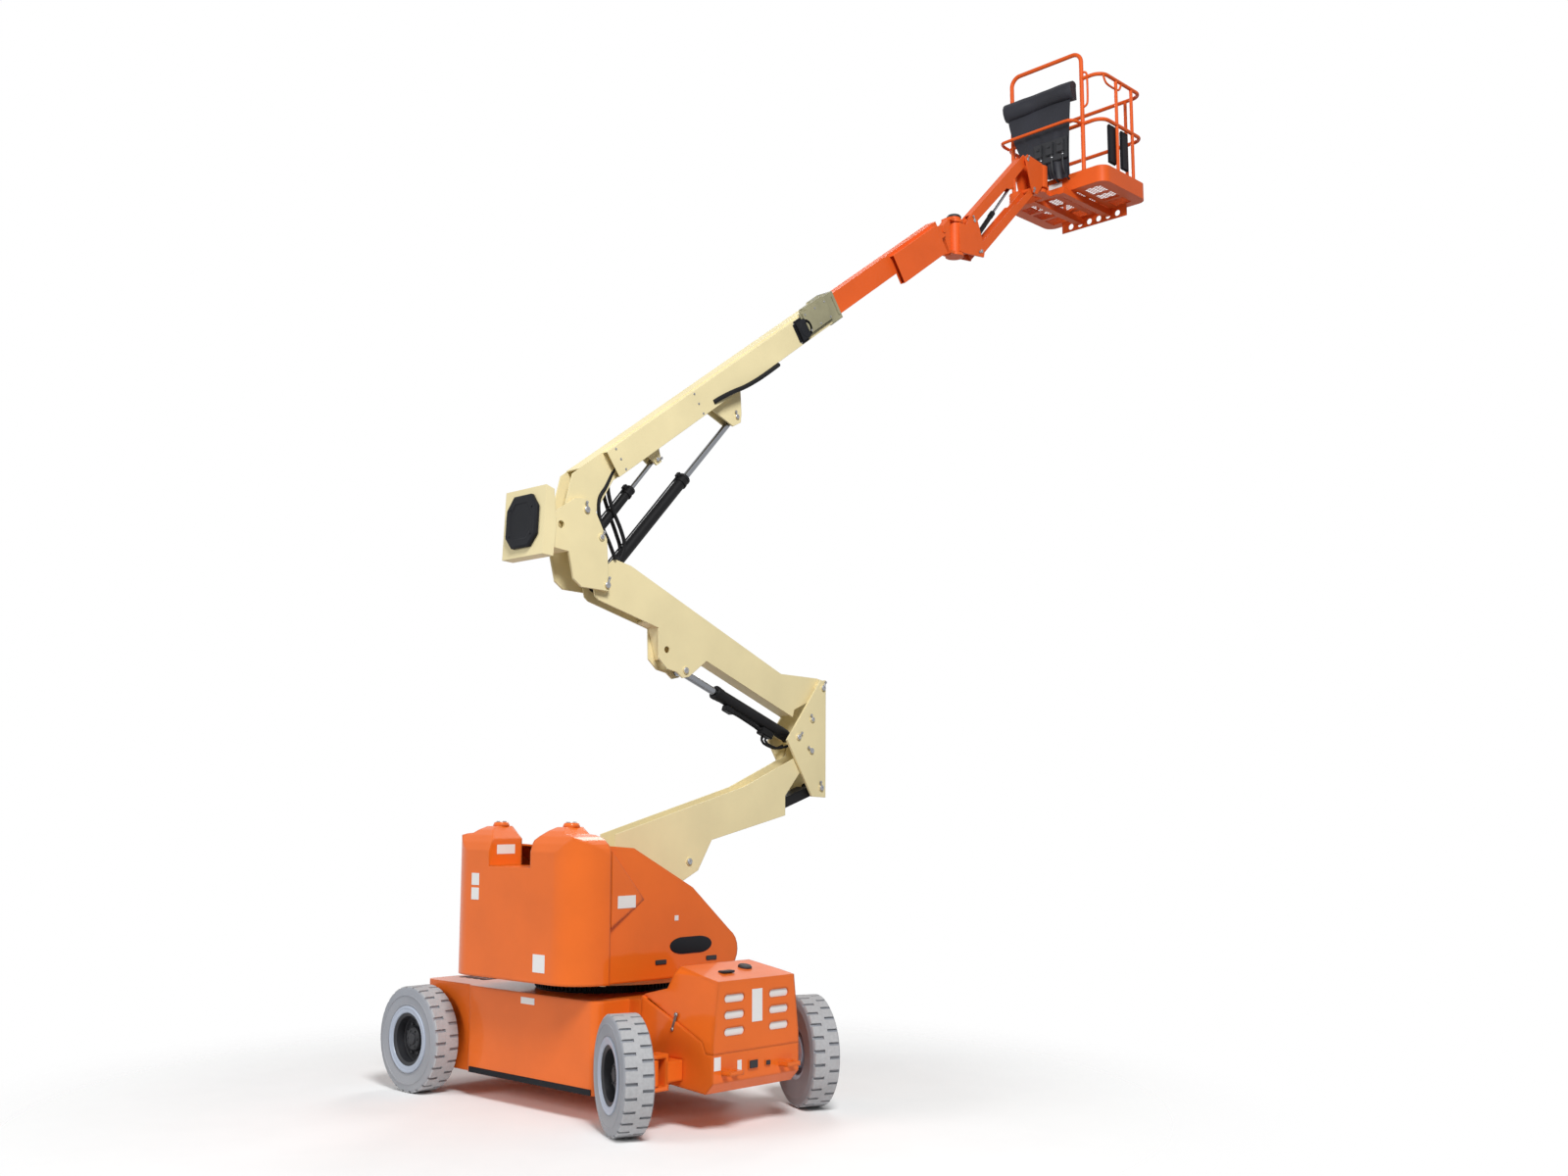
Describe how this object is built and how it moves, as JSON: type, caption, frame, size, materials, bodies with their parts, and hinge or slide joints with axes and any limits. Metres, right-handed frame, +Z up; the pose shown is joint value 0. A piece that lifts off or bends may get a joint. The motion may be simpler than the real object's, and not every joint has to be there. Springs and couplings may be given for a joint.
{
  "type": "articulating boom lift",
  "caption": "Narrow wheeled articulating boom lift with folding lower booms, a telescoping main boom, a jib and a railed work platform.",
  "frame": {"origin": "on the ground under the slewing axis", "axes": "+X along the chassis to its steered end, +Y the way the boom reaches, +Z up"},
  "size_m": [2.6981, 6.5624, 8.404],
  "materials": {
    "body_paint": "satin",
    "boom_paint": "satin",
    "dark_metal": "satin",
    "weight_iron": "rough",
    "rod_chrome": "polished",
    "console_cover": "soft folds",
    "tyre_rubber": "matt grey",
    "rim_paint": "satin"
  },
  "bodies": {
    "chassis": {"chassis_body": "body_paint", "end_tray": "body_paint", "power_block": "dark_metal", "steer_axle": "body_paint", "drive_axle": "dark_metal", "slew_ring": "dark_metal"},
    "end_cover": {"end_cover": "body_paint"},
    "turntable": {"turntable_frame": "boom_paint", "counterweight": "weight_iron", "tail_hood": "body_paint"},
    "hood_right": {"hood_right": "body_paint"},
    "hood_left": {"hood_left": "body_paint"},
    "knuckle_left": {"knuckle_left": "dark_metal"},
    "knuckle_right": {"knuckle_right": "dark_metal"},
    "main_boom": {"main_boom": "boom_paint", "hose_tray": "boom_paint"},
    "platform": {"platform_floor": "body_paint", "platform_rails": "body_paint", "console": "console_cover"},
    "wheel_front_left": {"tyre_front_left": "tyre_rubber", "rim_front_left": "rim_paint"},
    "wheel_front_right": {"tyre_front_right": "tyre_rubber", "rim_front_right": "rim_paint"},
    "wheel_rear_left": {"tyre_rear_left": "tyre_rubber", "rim_rear_left": "rim_paint"},
    "wheel_rear_right": {"tyre_rear_right": "tyre_rubber", "rim_rear_right": "rim_paint"},
    "lower_boom": {"lower_boom": "boom_paint"},
    "lower_link": {"lower_link": "dark_metal"},
    "mid_upright": {"mid_upright": "boom_paint"},
    "tower_boom": {"tower_boom": "boom_paint"},
    "upper_upright": {"upper_upright": "boom_paint"},
    "fly_boom": {"fly_boom": "body_paint"},
    "jib_knuckle": {"jib_knuckle": "body_paint"},
    "jib_post": {"jib_post": "body_paint"},
    "jib_arm_upper": {"jib_arm_upper": "body_paint"},
    "jib_arm_lower": {"jib_arm_lower": "body_paint"},
    "platform_support": {"platform_support": "body_paint"},
    "lower_barrel": {"lower_barrel": "dark_metal"},
    "lower_rod": {"lower_rod": "rod_chrome"},
    "tower_barrel": {"tower_barrel": "dark_metal"},
    "tower_rod": {"tower_rod": "rod_chrome"},
    "main_barrel": {"main_barrel": "dark_metal"},
    "main_rod": {"main_rod": "rod_chrome"},
    "level_barrel": {"level_barrel": "dark_metal"},
    "level_rod": {"level_rod": "rod_chrome"},
    "jib_barrel": {"jib_barrel": "dark_metal"},
    "jib_rod": {"jib_rod": "rod_chrome"}
  },
  "joints": [
    {"name": "turntable_swing", "type": "hinge", "parent": "chassis", "child": "turntable", "pos_m": [0, 0, 0.7], "axis": [0, 0, 1], "range_deg": [-267, 87]},
    {"name": "lower_boom_lift", "type": "hinge", "parent": "turntable", "child": "lower_boom", "pos_m": [0, -0.42, 1.42], "axis": [1, 0, 0], "range_deg": [-23, 41]},
    {"name": "lower_link_follow", "type": "hinge", "parent": "turntable", "child": "lower_link", "pos_m": [0, -0.321, 1.164], "axis": [1, 0, 0], "range_deg": [-23.46, 41.82]},
    {"name": "mid_upright_level", "type": "hinge", "parent": "lower_boom", "child": "mid_upright", "pos_m": [0, 1.725, 2.12], "axis": [1, 0, 0], "range_deg": [-41.82, 23.46]},
    {"name": "tower_boom_lift", "type": "hinge", "parent": "mid_upright", "child": "tower_boom", "pos_m": [0, 1.848, 2.562], "axis": [-1, 0, 0], "range_deg": [-25, 47]},
    {"name": "upper_upright_level", "type": "hinge", "parent": "tower_boom", "child": "upper_upright", "pos_m": [0, -0.12, 3.095], "axis": [-1, 0, 0], "range_deg": [-47.94, 25.5]},
    {"name": "main_boom_lift", "type": "hinge", "parent": "upper_upright", "child": "main_boom", "pos_m": [0, -0.292, 3.547], "axis": [1, 0, 0], "range_deg": [-37, 36]},
    {"name": "telescope", "type": "slide", "parent": "main_boom", "child": "fly_boom", "axis": [0, 0.809, 0.5878], "range_m": [-0.78, 0.25]},
    {"name": "jib_knuckle_level", "type": "hinge", "parent": "fly_boom", "child": "jib_knuckle", "pos_m": [0, 3.36071, 6.34547], "axis": [1, 0, 0], "range_deg": [-36.72, 37.74]},
    {"name": "jib_swing", "type": "hinge", "parent": "jib_knuckle", "child": "jib_post", "pos_m": [0, 3.56, 6.4], "axis": [0, 0, 1], "range_deg": [-90, 90]},
    {"name": "jib_lift", "type": "hinge", "parent": "jib_post", "child": "jib_arm_upper", "pos_m": [0, 3.745, 6.53], "axis": [1, 0, 0], "range_deg": [-104, 39]},
    {"name": "jib_link_follow", "type": "hinge", "parent": "jib_post", "child": "jib_arm_lower", "pos_m": [0, 3.835, 6.29], "axis": [1, 0, 0], "range_deg": [-106.08, 39.78]},
    {"name": "platform_level", "type": "hinge", "parent": "jib_arm_upper", "child": "platform_support", "pos_m": [0, 4.525, 7.3], "axis": [1, 0, 0], "range_deg": [-39.78, 106.08]},
    {"name": "platform_rotate", "type": "hinge", "parent": "platform_support", "child": "platform", "pos_m": [0, 4.796, 7.2], "axis": [0, 0, 1], "range_deg": [-90, 90]},
    {"name": "lower_barrel_pivot", "type": "hinge", "parent": "turntable", "child": "lower_barrel", "pos_m": [0, -0.3, 0.85], "axis": [1, 0, 0], "range_deg": [-18.75, 33.42]},
    {"name": "lower_rod_slide", "type": "slide", "parent": "lower_barrel", "child": "lower_rod", "axis": [0, 0.8592, 0.5117], "range_m": [-0.2188, 0.39]},
    {"name": "tower_barrel_pivot", "type": "hinge", "parent": "mid_upright", "child": "tower_barrel", "pos_m": [0, 1.597, 2.21], "axis": [1, 0, 0], "range_deg": [-50.16, 26.68]},
    {"name": "tower_rod_slide", "type": "slide", "parent": "tower_barrel", "child": "tower_rod", "axis": [0, -0.9303, 0.3668], "range_m": [-0.1831, 0.3442]},
    {"name": "main_barrel_pivot", "type": "hinge", "parent": "upper_upright", "child": "main_barrel", "pos_m": [0, -0.12, 3.095], "axis": [1, 0, 0], "range_deg": [-34.14, 33.22]},
    {"name": "main_rod_slide", "type": "slide", "parent": "main_barrel", "child": "main_rod", "axis": [0, 0.6712, 0.7413], "range_m": [-0.2846, 0.2769]},
    {"name": "level_barrel_pivot", "type": "hinge", "parent": "upper_upright", "child": "level_barrel", "pos_m": [0, -0.172, 3.39], "axis": [1, 0, 0], "range_deg": [-36.97, 35.97]},
    {"name": "level_rod_slide", "type": "slide", "parent": "level_barrel", "child": "level_rod", "axis": [0, 0.653, 0.7573], "range_m": [-0.125, 0.1216]},
    {"name": "jib_barrel_pivot", "type": "hinge", "parent": "jib_post", "child": "jib_barrel", "pos_m": [0, 3.795, 6.36], "axis": [1, 0, 0], "range_deg": [-108.75, 40.78]},
    {"name": "jib_rod_slide", "type": "slide", "parent": "jib_barrel", "child": "jib_rod", "axis": [0, 0.6456, 0.7637], "range_m": [-0.2634, 0.0988]},
    {"name": "steer_left", "type": "hinge", "parent": "chassis", "child": "knuckle_left", "pos_m": [1, -0.511, 0.3175], "axis": [0, 0, 1], "range_deg": [-11, 59]},
    {"name": "wheel_front_left", "type": "hinge", "parent": "knuckle_left", "child": "wheel_front_left", "pos_m": [0.93899, -0.64803, 0.3175], "axis": [0.4067, 0.9135, 0], "continuous": true},
    {"name": "wheel_rear_left", "type": "hinge", "parent": "chassis", "child": "wheel_rear_left", "pos_m": [-1, -0.661, 0.3175], "axis": [0, 1, 0], "continuous": true},
    {"name": "steer_right", "type": "hinge", "parent": "chassis", "child": "knuckle_right", "pos_m": [1, 0.511, 0.3175], "axis": [0, 0, 1], "range_deg": [-11, 59]},
    {"name": "wheel_front_right", "type": "hinge", "parent": "knuckle_right", "child": "wheel_front_right", "pos_m": [1.06101, 0.64803, 0.3175], "axis": [0.4067, 0.9135, 0], "continuous": true},
    {"name": "wheel_rear_right", "type": "hinge", "parent": "chassis", "child": "wheel_rear_right", "pos_m": [-1, 0.661, 0.3175], "axis": [0, 1, 0], "continuous": true},
    {"name": "hood_right_open", "type": "hinge", "parent": "turntable", "child": "hood_right", "pos_m": [0.2, 0, 1.515], "axis": [0, -1, 0], "range_deg": [0, 60]},
    {"name": "hood_left_open", "type": "hinge", "parent": "turntable", "child": "hood_left", "pos_m": [-0.2, 0, 1.515], "axis": [0, 1, 0], "range_deg": [0, 60]},
    {"name": "end_cover_open", "type": "hinge", "parent": "chassis", "child": "end_cover", "pos_m": [1.3, 0, 0.42], "axis": [0, 1, 0], "range_deg": [0, 70]}
  ],
  "couplings": [
    {"joint": "lower_link_follow", "follows": "lower_boom_lift", "ratio": 1},
    {"joint": "mid_upright_level", "follows": "lower_boom_lift", "ratio": -1},
    {"joint": "upper_upright_level", "follows": "tower_boom_lift", "ratio": -1},
    {"joint": "jib_knuckle_level", "follows": "main_boom_lift", "ratio": -1},
    {"joint": "jib_link_follow", "follows": "jib_lift", "ratio": 1},
    {"joint": "platform_level", "follows": "jib_lift", "ratio": -1},
    {"joint": "lower_barrel_pivot", "follows": "lower_boom_lift", "ratio": 0.77632},
    {"joint": "lower_rod_slide", "follows": "lower_boom_lift", "m_per_rad": 0.51911},
    {"joint": "tower_barrel_pivot", "follows": "tower_boom_lift", "ratio": -1.0164},
    {"joint": "tower_rod_slide", "follows": "tower_boom_lift", "m_per_rad": 0.39957},
    {"joint": "main_barrel_pivot", "follows": "main_boom_lift", "ratio": 0.87877},
    {"joint": "main_rod_slide", "follows": "main_boom_lift", "m_per_rad": 0.41978},
    {"joint": "level_barrel_pivot", "follows": "main_boom_lift", "ratio": 0.95158},
    {"joint": "level_rod_slide", "follows": "main_boom_lift", "m_per_rad": 0.18435},
    {"joint": "jib_barrel_pivot", "follows": "jib_lift", "ratio": 0.9959},
    {"joint": "jib_rod_slide", "follows": "jib_lift", "m_per_rad": 0.13823},
    {"joint": "steer_right", "follows": "steer_left", "ratio": 1}
  ]
}
